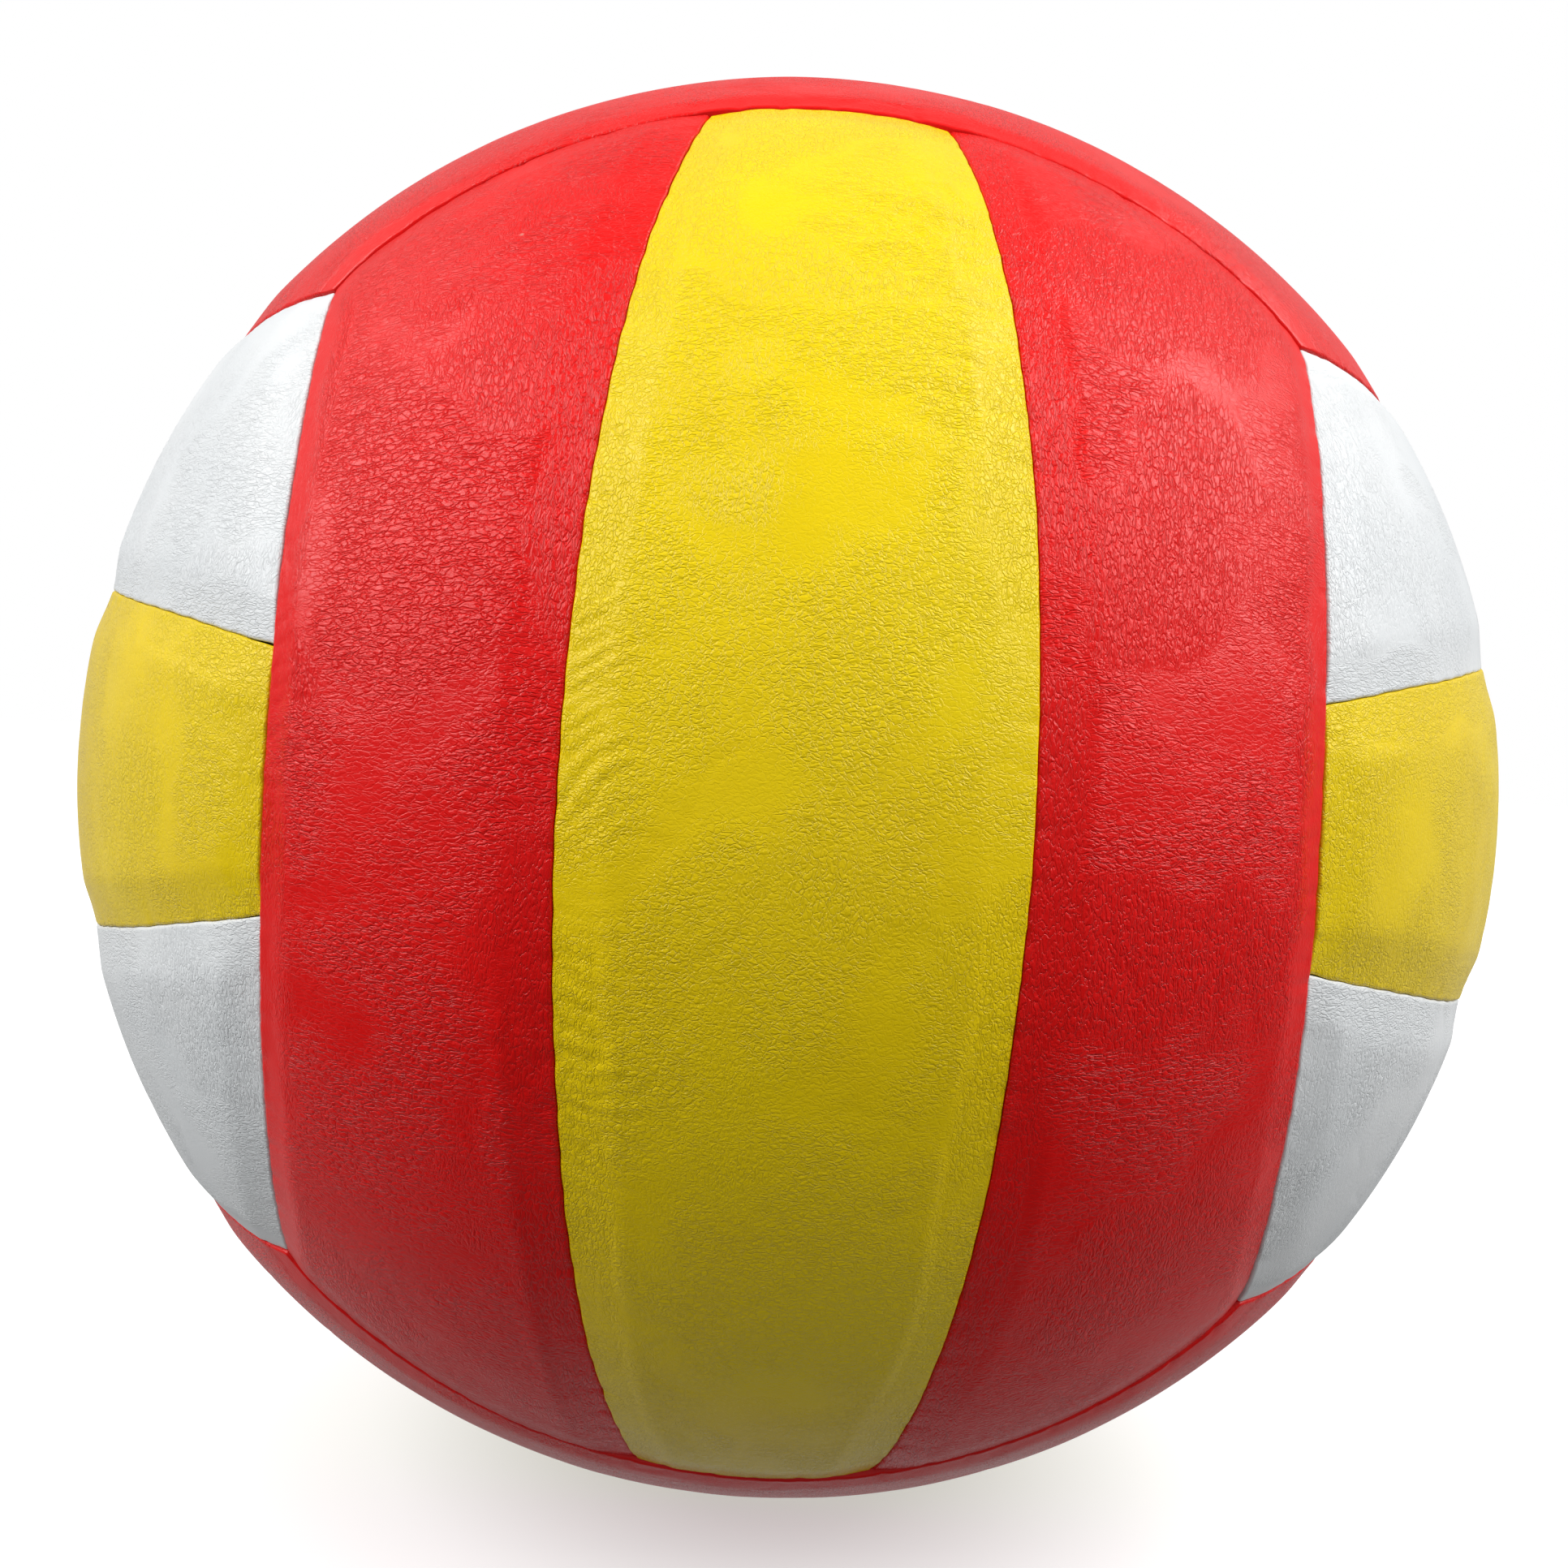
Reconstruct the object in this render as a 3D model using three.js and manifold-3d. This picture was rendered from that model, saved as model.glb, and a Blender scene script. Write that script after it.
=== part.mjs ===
// Eighteen-panel sewn volleyball: six faces of three strips each, laid out like the faces of a
// cube, with the strips of neighbouring faces at right angles. Millimetres, +Z up, origin at the
// centre of the ball. The front face looks along -Y and its strips run up and down; the strips of
// the left and right faces run front to back, and those of the top and bottom run side to side.
// Every cover panel is a laminate whose edges turn inwards to a sewing flange. Threads run along
// the flange tips, an inflated bladder fills the cover, and the valve is in the rear centre panel.

import * as THREE from "three";
import Module from "manifold-3d";

// ---- driving dimensions (mm, degrees) ----
const BALL_R = 105.2; // outer radius at the corners of the facets, whose middles bring it to 105: 660 mm round
const STRIP_A = 13.55; // half width of a centre strip at its middle, as an angle at the centre
const STRIP_G = 12.3; // how much the strip seams draw together towards their ends
const EDGE_A = 34.0; // half width of a whole face at its middle
const SEAM_GAP = 0.3; // between neighbouring flanges
const PANEL_T = 3.2; // skin, foam and cloth lining together
const SEAM_DROP = 0.8; // the panel's edge rolls down this far at the seam
const ROLL_W = 1.6; // width of that rolled edge
const FLANGE_T = 1.5; // thickness of the turned-in edge
const FLANGE_TIP_R = 100.7; // how deep the turned-in edge reaches
const THREAD_R = 0.35; // sewing thread
const THREAD_SIDES = 5;
const THREAD_END = 1.3; // distance of a thread's end from the crossing seam
const CELLS_SIDE = 3; // facets across a side strip
const CELLS_CENTRE = 5; // facets across a centre strip, odd so that one is central
const BLADDER_SEAM_R = 99.4; // bladder under the flanges
const BLADDER_FIELD_R = 101.2; // bladder pressed out between the flanges
const BLADDER_VALVE_R = 100.2; // bladder flattened under the valve patch
const BLADDER_INNER_R = 98.2;
const VALVE_BORE_R = 4.3; // hole in the bladder
const PANEL_HOLE_R = 2.6; // hole in the rear centre panel
const PATCH_R = 12.5; // reinforcing disc around the valve
const PATCH_IN_R = 100.7;
const PATCH_OUT_R = 101.2;
const VALVE_HEAD_R = 2.3;
const VALVE_TOP = 104.3; // just under flush with the cover
const VALVE_BARREL_R = 4.0;
const VALVE_BARREL_END = 88.0;
const VALVE_FLANGE_R = 10.0;
const VALVE_FLANGE_TOP = 97.4;
const VALVE_FLANGE_T = 1.2;
const NEEDLE_R = 0.9; // needle entry
const CORE_R = 2.3;
const CORE_TOP = 99.1;
const POCKET_TOP = 99.4; // top of the pocket that holds the core
const CORE_END = 89.5;
const CORE_SLIT_DEPTH = 4.5;

const RED = 0xd01818;
const YELLOW = 0xf2cc00;
const WHITE = 0xf1f2f3;

const wasm = await Module();
wasm.setup();

// ---- seam layout ----
// On a face, F points out through its middle, A runs across the strips and L along them. A seam
// across = (a, g) is the circle cos(g) A - sin(g) F = sin(a - g) on the unit sphere: it passes at
// angle a from the middle of the face. The long edge of a face is also the short edge of the
// strips of its neighbour, so it must pass through the corner (1, 1, 1), which fixes its g.
const rad = (d) => (d * Math.PI) / 180;
function bisect(f, lo, hi) {
  const up = f(lo) < 0;
  for (let n = 0; n < 80; n++) {
    const mid = (lo + hi) / 2;
    if (f(mid) < 0 === up) lo = mid;
    else hi = mid;
  }
  return (lo + hi) / 2;
}
const A1 = rad(STRIP_A);
const G1 = rad(STRIP_G);
const A2 = rad(EDGE_A);
const G2 = bisect((g) => Math.cos(g) - Math.sin(g) - Math.sqrt(3) * Math.sin(A2 - g), rad(-25), rad(20));

const across = [];
for (let i = 0; i <= CELLS_SIDE; i++) across.push(-A2 + ((A2 - A1) * i) / CELLS_SIDE);
for (let i = 1; i <= CELLS_CENTRE; i++) across.push(-A1 + (2 * A1 * i) / CELLS_CENTRE);
for (let i = 1; i <= CELLS_SIDE; i++) across.push(A1 + ((A2 - A1) * i) / CELLS_SIDE);
const N = across.length - 1;
const strips = [
  [0, CELLS_SIDE],
  [CELLS_SIDE, CELLS_SIDE + CELLS_CENTRE],
  [CELLS_SIDE + CELLS_CENTRE, N],
];
function lean(a) {
  const m = Math.abs(a);
  const g = m <= A1 ? (G1 * m) / A1 : G1 + ((G2 - G1) * (m - A1)) / (A2 - A1);
  return Math.sign(a) * g;
}
// A point of the circle (a, g), moved sideways by shift, at height l along the strip.
function onSeam(a, g, shift, l) {
  const rho = Math.sqrt(1 - l * l);
  const t = g + Math.asin((Math.sin(a - g) + shift) / rho);
  return { a: rho * Math.sin(t), f: rho * Math.cos(t), l };
}
// How far along the circle (a, g) reaches before it meets the face's end, drawn in by margin.
function endOf(a, g, shift, margin) {
  const reach = Math.sqrt(1 - (Math.sin(a - g) + shift) ** 2); // where the circle runs parallel to the end
  return bisect(
    (l) => {
      const p = onSeam(a, g, shift, l);
      return Math.cos(G2) * p.f - Math.sin(G2) * l - Math.sin(A2 - G2) - margin;
    },
    0.2,
    Math.min(0.999 * reach, 0.9),
  );
}
// Stations along a strip, as shares of its half angle. On the long edge they're the points where
// the neighbouring face's own columns of facets meet it, so both sides have the same facets.
const edgeEnd = endOf(A2, G2, 0, 0);
const along = across.map((a, k) => {
  if (k === 0) return -1;
  if (k === N) return 1;
  const g = lean(a);
  const l = bisect((z) => Math.cos(g) * z - Math.sin(g) * onSeam(A2, G2, 0, z).a - Math.sin(a - g), -0.7, 0.7);
  return Math.asin(l) / Math.asin(edgeEnd);
});
function column(i, shift, margin) {
  const a = across[i];
  const g = lean(a);
  const end = endOf(a, g, shift, margin);
  return along.map((share) => onSeam(a, g, shift, Math.sin(Math.asin(end) * share)));
}

const X = new THREE.Vector3(1, 0, 0);
const Y = new THREE.Vector3(0, 1, 0);
const Z = new THREE.Vector3(0, 0, 1);
const faces = {
  front: { F: Y.clone().negate(), A: X, L: Z, names: ["left", "centre", "right"], seams: ["left", "right"], colours: [RED, YELLOW, RED] },
  rear: { F: Y, A: X, L: Z, names: ["left", "centre", "right"], seams: ["left", "right"], colours: [RED, YELLOW, RED] },
  left: { F: X.clone().negate(), A: Z, L: Y, names: ["lower", "centre", "upper"], seams: ["lower", "upper"], colours: [WHITE, YELLOW, WHITE] },
  right: { F: X, A: Z, L: Y, names: ["lower", "centre", "upper"], seams: ["lower", "upper"], colours: [WHITE, YELLOW, WHITE] },
  top: { F: Z, A: Y, L: X, names: ["front", "centre", "rear"], seams: ["front", "rear"], colours: [RED, YELLOW, RED] },
  bottom: { F: Z.clone().negate(), A: Y, L: X, names: ["front", "centre", "rear"], seams: ["front", "rear"], colours: [RED, YELLOW, RED] },
};
function place(face, p, r) {
  return new THREE.Vector3()
    .addScaledVector(face.A, p.a * r)
    .addScaledVector(face.F, p.f * r)
    .addScaledVector(face.L, p.l * r);
}

// ---- mesh helpers ----
function closedGeometry(points, triangles) {
  let volume = 0;
  for (const [a, b, c] of triangles) volume += points[a].dot(points[b].clone().cross(points[c]));
  const index = triangles.flatMap(([a, b, c]) => (volume > 0 ? [a, b, c] : [a, c, b]));
  const geometry = new THREE.BufferGeometry();
  geometry.setAttribute("position", new THREE.Float32BufferAttribute(points.flatMap((p) => [p.x, p.y, p.z]), 3));
  geometry.setIndex(index);
  return geometry;
}
// Joins the points that lie within a hundredth of a millimetre of each other, and drops any
// triangle that this leaves with no area.
function toSolid(geometry) {
  const p = geometry.attributes.position;
  const index = geometry.index ? Array.from(geometry.index.array) : Array.from({ length: p.count }, (_, k) => k);
  const kept = [];
  const to = [];
  for (let k = 0; k < p.count; k++) {
    const v = new THREE.Vector3().fromBufferAttribute(p, k);
    let at = kept.findIndex((q) => q.distanceToSquared(v) < 1e-4);
    if (at < 0) at = kept.push(v) - 1;
    to.push(at);
  }
  const triangles = [];
  for (let k = 0; k < index.length; k += 3) {
    const t = [to[index[k]], to[index[k + 1]], to[index[k + 2]]];
    if (t[0] !== t[1] && t[1] !== t[2] && t[2] !== t[0]) triangles.push(...t);
  }
  return new wasm.Manifold(
    new wasm.Mesh({ numProp: 3, vertProperties: new Float32Array(kept.flatMap((v) => [v.x, v.y, v.z])), triVerts: new Uint32Array(triangles) }),
  );
}
function fromSolid(solid) {
  const m = solid.getMesh();
  const geometry = new THREE.BufferGeometry();
  geometry.setAttribute("position", new THREE.Float32BufferAttribute(Array.from(m.vertProperties), 3));
  geometry.setIndex(Array.from(m.triVerts));
  return geometry;
}
// A plain cylinder about +Y, for the holes that the valve goes through.
function drill(r, low, high, sides = 20) {
  const g = new THREE.CylinderGeometry(r, r, high - low, sides);
  g.translate(0, (low + high) / 2, 0);
  return toSolid(g);
}

const ball = new THREE.Group();
function piece(name, geometry, colour, roughness, metalness = 0) {
  geometry.computeVertexNormals();
  const mesh = new THREE.Mesh(geometry, new THREE.MeshStandardMaterial({ color: colour, roughness, metalness }));
  mesh.name = name;
  ball.add(mesh);
}

// ---- cover panels ----
// Five layers share one grid: the crowned outer face, the rolled seam edge, the two edges of the
// flange tip, and the inner face. The outer and inner faces are whole grids and the rest are rings.
const layers = [
  { margin: SEAM_GAP / 2 + ROLL_W, r: BALL_R },
  { margin: SEAM_GAP / 2, r: BALL_R - SEAM_DROP },
  { margin: SEAM_GAP / 2, r: FLANGE_TIP_R },
  { margin: SEAM_GAP / 2 + FLANGE_T, r: FLANGE_TIP_R },
  { margin: SEAM_GAP / 2 + FLANGE_T + 0.4, r: BALL_R - PANEL_T },
];
function panel(face, [i0, i1]) {
  const w = i1 - i0;
  const points = [];
  const triangles = [];
  const grids = layers.map(({ margin, r }) => {
    const start = points.length;
    const m = margin / BALL_R;
    for (let i = i0; i <= i1; i++) {
      const shift = i === i0 ? m : i === i1 ? -m : 0;
      for (const p of column(i, shift, m)) points.push(place(face, p, r));
    }
    return (i, j) => start + i * (N + 1) + j;
  });
  const ring = [];
  for (let i = 0; i < w; i++) ring.push([i, 0]);
  for (let j = 0; j < N; j++) ring.push([w, j]);
  for (let i = w; i > 0; i--) ring.push([i, N]);
  for (let j = N; j > 0; j--) ring.push([0, j]);
  const sheet = (at, flip) => {
    for (let i = 0; i < w; i++)
      for (let j = 0; j < N; j++) {
        const [a, b, c, d] = [at(i, j), at(i + 1, j), at(i + 1, j + 1), at(i, j + 1)];
        triangles.push(flip ? [a, c, b] : [a, b, c], flip ? [a, d, c] : [a, c, d]);
      }
  };
  sheet(grids[0], false);
  for (let k = 0; k + 1 < grids.length; k++)
    ring.forEach(([i, j], n) => {
      const [p, q] = ring[(n + 1) % ring.length];
      const [a, b, c, d] = [grids[k](i, j), grids[k](p, q), grids[k + 1](p, q), grids[k + 1](i, j)];
      triangles.push([a, c, b], [a, d, c]);
    });
  sheet(grids[grids.length - 1], true);
  const used = new Map();
  const kept = [];
  for (const t of triangles)
    for (let k = 0; k < 3; k++) {
      if (!used.has(t[k])) {
        used.set(t[k], kept.length);
        kept.push(points[t[k]]);
      }
      t[k] = used.get(t[k]);
    }
  return closedGeometry(kept, triangles);
}
for (const [side, face] of Object.entries(faces))
  strips.forEach((strip, k) => {
    let geometry = panel(face, strip);
    if (side === "rear" && k === 1) geometry = fromSolid(toSolid(geometry).subtract(drill(PANEL_HOLE_R, 95, 110)));
    piece(`${side}_${face.names[k]}_panel`, geometry, face.colours[k], 0.45);
  });

// ---- sewing threads ----
// A line of thread lies along each seam, just under the flange tips: two along the strips of each
// face, and one along each of the twelve edges between faces.
const THREAD_PATH_R = FLANGE_TIP_R - SEAM_GAP - THREAD_R;
// A path through given points whose steps end exactly on them, as the flanges' facets do.
class Stations extends THREE.Curve {
  constructor(points) {
    super();
    this.points = points;
    this.smooth = new THREE.CatmullRomCurve3(points);
  }
  getPoint(t, target = new THREE.Vector3()) {
    return target.copy(this.smooth.getPoint(t));
  }
  getPointAt(t, target) {
    return this.getPoint(t, target);
  }
  getTangentAt(t, target) {
    return this.getTangent(t, target);
  }
}
function thread(name, points) {
  const section = new THREE.Shape();
  for (let k = 0; k < THREAD_SIDES; k++) {
    const t = (2 * Math.PI * k) / THREAD_SIDES;
    if (k) section.lineTo(THREAD_R * Math.cos(t), THREAD_R * Math.sin(t));
    else section.moveTo(THREAD_R, 0);
  }
  section.closePath();
  const path = new Stations(points);
  const geometry = new THREE.ExtrudeGeometry(section, { steps: N, bevelEnabled: false, extrudePath: path });
  piece(name, geometry, 0xe8e4d8, 0.7);
}
const trim = THREAD_END / BALL_R;
for (const [side, face] of Object.entries(faces))
  [strips[0][1], strips[1][1]].forEach((i, k) => {
    thread(`${side}_${face.seams[k]}_seam_thread`, column(i, 0, trim).map((p) => place(face, p, THREAD_PATH_R)));
  });
// The long edges of each face, which are the twelve edges between faces.
const edges = [
  ["front", 0, "front_left"], ["front", N, "front_right"], ["rear", 0, "rear_left"], ["rear", N, "rear_right"],
  ["left", 0, "left_bottom"], ["left", N, "left_top"], ["right", 0, "right_bottom"], ["right", N, "right_top"],
  ["top", 0, "top_front"], ["top", N, "top_rear"], ["bottom", 0, "bottom_front"], ["bottom", N, "bottom_rear"],
];
for (const [side, i, name] of edges)
  thread(`${name}_edge_thread`, column(i, 0, trim).map((p) => place(faces[side], p, THREAD_PATH_R)));

// ---- bladder ----
// It follows the same grid: drawn in under every seam and pressed out between them.
{
  const points = [];
  const triangles = [];
  const seamColumns = new Set([0, strips[0][1], strips[1][1], N]);
  const middle = [(N - 3) / 2, (N - 3) / 2 + 3];
  const inMiddle = (k) => k >= middle[0] && k <= middle[1];
  for (const [side, face] of Object.entries(faces)) {
    const start = points.length;
    const facing = face.A.clone().cross(face.L).dot(face.F) > 0;
    for (let i = 0; i <= N; i++)
      column(i, 0, 0).forEach((p, j) => {
        const seam = seamColumns.has(i) || j === 0 || j === N;
        const valve = side === "rear" && inMiddle(i) && inMiddle(j);
        points.push(place(face, p, seam ? BLADDER_SEAM_R : valve ? BLADDER_VALVE_R : BLADDER_FIELD_R));
      });
    for (let i = 0; i < N; i++)
      for (let j = 0; j < N; j++) {
        const [a, b, c, d] = [start + i * (N + 1) + j, start + (i + 1) * (N + 1) + j, start + (i + 1) * (N + 1) + j + 1, start + i * (N + 1) + j + 1];
        if (facing) triangles.push([a, b, c], [a, c, d]);
        else triangles.push([a, c, b], [a, d, c]);
      }
  }
  const inner = new THREE.SphereGeometry(BLADDER_INNER_R, 28, 16);
  const solid = toSolid(closedGeometry(points, triangles)).subtract(toSolid(inner)).subtract(drill(VALVE_BORE_R, 90, 105));
  piece("bladder", fromSolid(solid), 0x2a2a2c, 0.6);
}

// ---- valve, turned about +Y ----
const VALVE_SIDES = 18;
function turned(profile) {
  return new THREE.LatheGeometry(profile.map(([r, y]) => new THREE.Vector2(r, y)), VALVE_SIDES);
}
// Housing: a head in the panel's hole, a barrel through the bladder with a flange inside it, and a
// pocket open at the inner end for the core.
piece(
  "valve_body",
  turned([
    [NEEDLE_R, VALVE_TOP], [NEEDLE_R, POCKET_TOP], [CORE_R + 0.3, POCKET_TOP], [CORE_R + 0.3, VALVE_BARREL_END],
    [VALVE_BARREL_R, VALVE_BARREL_END], [VALVE_BARREL_R, VALVE_FLANGE_TOP - VALVE_FLANGE_T],
    [VALVE_FLANGE_R, VALVE_FLANGE_TOP - VALVE_FLANGE_T], [VALVE_FLANGE_R, VALVE_FLANGE_TOP - 0.4],
    [VALVE_BARREL_R, VALVE_FLANGE_TOP], [VALVE_BARREL_R, 99.9], [VALVE_HEAD_R, 100.3],
    [VALVE_HEAD_R, VALVE_TOP - 0.3], [VALVE_HEAD_R - 0.3, VALVE_TOP], [NEEDLE_R, VALVE_TOP],
  ]),
  0x1d1d1f,
  0.55,
);
// Core: a self-sealing plug with a blind needle entry.
piece(
  "valve_core",
  turned([
    [0, CORE_END], [CORE_R - 0.5, CORE_END], [CORE_R, CORE_END + 0.8], [CORE_R, CORE_TOP], [0.7, CORE_TOP],
    [0.7, CORE_TOP - CORE_SLIT_DEPTH], [0, CORE_TOP - CORE_SLIT_DEPTH],
  ]),
  0x6b3a2a,
  0.6,
);
// Patch: a domed disc of coated cloth between the panel and the bladder.
{
  const steps = 4;
  const profile = [];
  const from = PANEL_HOLE_R + 0.3;
  for (let k = 0; k <= steps; k++) {
    const s = from + ((PATCH_R - from) * k) / steps;
    profile.push([s, Math.sqrt(PATCH_OUT_R ** 2 - s * s)]);
  }
  for (let k = steps; k >= 0; k--) {
    const s = from + ((PATCH_R - from) * k) / steps;
    profile.push([s, Math.sqrt(PATCH_IN_R ** 2 - s * s)]);
  }
  profile.push(profile[0]);
  piece("valve_patch", turned(profile.reverse()), 0xc9c5b8, 0.8);
}

export default ball;
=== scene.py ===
"""Looks for the sewn 18-panel volleyball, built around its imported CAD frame."""

import math

import bpy
import numpy as np
from mathutils import Matrix, Vector


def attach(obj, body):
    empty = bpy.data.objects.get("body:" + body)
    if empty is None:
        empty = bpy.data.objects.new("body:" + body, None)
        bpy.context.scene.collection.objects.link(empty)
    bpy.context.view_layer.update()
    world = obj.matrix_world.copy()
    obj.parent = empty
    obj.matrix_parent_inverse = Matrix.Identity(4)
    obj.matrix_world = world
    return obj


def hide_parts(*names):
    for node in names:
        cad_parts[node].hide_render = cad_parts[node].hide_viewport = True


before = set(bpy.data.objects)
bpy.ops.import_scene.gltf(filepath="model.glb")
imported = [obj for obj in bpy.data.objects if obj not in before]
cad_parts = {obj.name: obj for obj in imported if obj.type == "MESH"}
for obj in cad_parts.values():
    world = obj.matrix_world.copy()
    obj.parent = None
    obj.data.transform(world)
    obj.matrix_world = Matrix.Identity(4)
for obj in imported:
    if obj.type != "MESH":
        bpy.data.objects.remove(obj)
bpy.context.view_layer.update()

# ---------------------------------------------------------------- dimensions (mm, degrees)
BALL_R = 104.9  # crown of the panels
STRIP_A, STRIP_G, EDGE_A = 13.55, 12.3, 34.0
STITCH = 5.5  # pitch of the stitches
EDGE_GAP = 0.03  # from the seam line to a panel's rolled edge
EDGE_ROLL = 0.4  # radius of the rolled edge
BAND_W, BAND_DROP = 6.2, 0.84  # the band beside a seam that slopes down to it
# On a strip's ends, and on the edge between two faces: (drop at the ends, width and drop along the edge)
CORNER_BANDS = {"front": (0.66, 4.4, 0.76), "rear": (0.66, 4.4, 0.76), "left": (0.72, 4.2, 0.65), "right": (0.72, 4.2, 0.65), "top": (0.50, 3.0, 0.50), "bottom": (0.50, 3.0, 0.50)}
FLANGE_R = 101.1  # how deep the turned-in edge goes
LINING_R = 101.9
VALVE_HOLE_R = 2.6
VALVE_TOP = 104.3


# ---------------------------------------------------------------- noise
def _hash(ix, iy, iz, seed):
    h = (ix * 374761393 + iy * 668265263 + iz * 2147483647 + seed * 1274126177) & 0xFFFFFFFF
    h = ((h ^ (h >> 13)) * 1274126177) & 0xFFFFFFFF
    h = ((h ^ (h >> 16)) * 2246822519) & 0xFFFFFFFF
    return (h ^ (h >> 15)) & 0xFFFFFFFF


def noise3(p, seed=0):
    """Gradient noise at points p (N, 3), from about -1 to 1."""
    p = np.asarray(p, float)
    i = np.floor(p).astype(np.int64)
    f = p - i
    w = f * f * f * (f * (f * 6 - 15) + 10)
    out = np.zeros(len(p))
    for dx in (0, 1):
        for dy in (0, 1):
            for dz in (0, 1):
                h = _hash(i[:, 0] + dx, i[:, 1] + dy, i[:, 2] + dz, seed)
                a = (h & 0xFFFF) / 65535.0 * 2 * np.pi
                z = ((h >> 16) & 0xFFFF) / 65535.0 * 2 - 1
                r = np.sqrt(1 - z * z)
                g = (
                    r * np.cos(a) * (f[:, 0] - dx)
                    + r * np.sin(a) * (f[:, 1] - dy)
                    + z * (f[:, 2] - dz)
                )
                out += (
                    g
                    * (w[:, 0] if dx else 1 - w[:, 0])
                    * (w[:, 1] if dy else 1 - w[:, 1])
                    * (w[:, 2] if dz else 1 - w[:, 2])
                )
    return out * 1.6


def noise2(x, y, seed=0):
    return noise3(np.stack([x, y, np.full_like(x, 0.37)], 1), seed)


def rand_at(k, seed):
    """A random number from 0 to 1 for each whole number k."""
    k = np.asarray(k, np.int64)
    return _hash(k, k * 7 + 3, k * 0 + 11, seed) / 4294967295.0


def smooth(x, a, b):
    t = np.clip((x - a) / (b - a), 0, 1)
    return t * t * (3 - 2 * t)


# ---------------------------------------------------------------- seam layout
# The same circles as the CAD model's: a seam (a, g) on a face whose middle is F, across A and
# along L is cos(g) A - sin(g) F = sin(a - g) on the unit sphere.
def bisect(f, lo, hi, n=60):
    lo, hi = np.array(lo, float), np.array(hi, float)
    up = f(lo) < 0
    for _ in range(n):
        mid = (lo + hi) / 2
        same = (f(mid) < 0) == up
        lo, hi = np.where(same, mid, lo), np.where(same, hi, mid)
    return (lo + hi) / 2


A1, G1, A2 = map(math.radians, (STRIP_A, STRIP_G, EDGE_A))
G2 = float(
    bisect(
        lambda g: np.cos(g) - np.sin(g) - math.sqrt(3) * np.sin(A2 - g),
        math.radians(-25),
        math.radians(20),
    )
)


def lean(a):
    m = np.abs(a)
    g = np.where(m <= A1, G1 * m / A1, G1 + (G2 - G1) * (m - A1) / (A2 - A1))
    return np.sign(a) * g


def on_seam(a, g, shift, length):
    rho = np.sqrt(np.maximum(1 - length * length, 1e-9))
    t = g + np.arcsin(np.clip((np.sin(a - g) + shift) / rho, -1, 1))
    return np.stack([rho * np.sin(t), rho * np.cos(t), length], -1)  # across, face, along


def end_of(a, g, shift, margin):
    reach = np.sqrt(1 - (np.sin(a - g) + shift) ** 2)
    return bisect(
        lambda s: np.cos(G2) * on_seam(a, g, shift, s)[..., 1]
        - np.sin(G2) * s
        - np.sin(A2 - G2)
        - margin,
        np.full_like(a, 0.2),
        np.minimum(0.999 * reach, 0.9),
    )


E = np.eye(3)
FACES = {  # middle, across, along, names of the three strips, their colours
    "front": (-E[1], E[0], E[2], ("left", "centre", "right"), "ryr"),
    "rear": (E[1], E[0], E[2], ("left", "centre", "right"), "ryr"),
    "left": (-E[0], E[2], E[1], ("lower", "centre", "upper"), "wyw"),
    "right": (E[0], E[2], E[1], ("lower", "centre", "upper"), "wyw"),
    "top": (E[2], E[1], E[0], ("front", "centre", "rear"), "ryr"),
    "bottom": (-E[2], E[1], E[0], ("front", "centre", "rear"), "ryr"),
}
STRIPS = ((-A2, -A1), (-A1, A1), (A1, A2))
KINDS = {"r": "red_leather", "y": "yellow_leather", "w": "white_leather"}


def seam_seed(n):
    q = np.round(np.asarray(n) * 997).astype(int)
    return int((q[0] * 73856093 ^ q[1] * 19349663 ^ q[2] * 83492791) & 0xFFFFFF)


def from_seam(o, p):
    """How far in mm each unit point lies inside a seam. An end seam's circle reaches its strip's other end too, so it counts on its own half only."""
    s = o["side"] * BALL_R * (np.arcsin(np.clip(p @ o["n"], -1, 1)) - o["c"])
    return np.where(p @ o["half"] > 0, s, 60.0) if o["end"] else s


def panel_edges(face, strip):
    """The four seams round a panel: each seam's normal, its angle, the axis that it runs along, and the panel's side of it."""
    F, A, L = FACES[face][:3]
    lo, hi = STRIPS[strip]
    out = []
    for a, side in ((lo, 1), (hi, -1)):
        g = float(lean(np.array(a)))
        n = math.cos(g) * A - math.sin(g) * F
        c = a - g
        if abs(abs(a) - A2) < 1e-9 and a < 0:  # an edge between faces has one normal for both of its sides
            n, c, side = -n, -c, -side
        out.append({"n": n, "c": c, "e": L, "side": side, "end": False, "outer": abs(abs(a) - A2) < 1e-9, "face": face})
    for sign in (-1, 1):
        n = math.cos(G2) * F - sign * math.sin(G2) * L
        out.append({"n": n, "c": A2 - G2, "e": A, "side": 1, "end": True, "outer": False, "half": sign * L, "face": face})
    for o in out:
        o["seed"] = seam_seed(o["n"])
    return out


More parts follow.
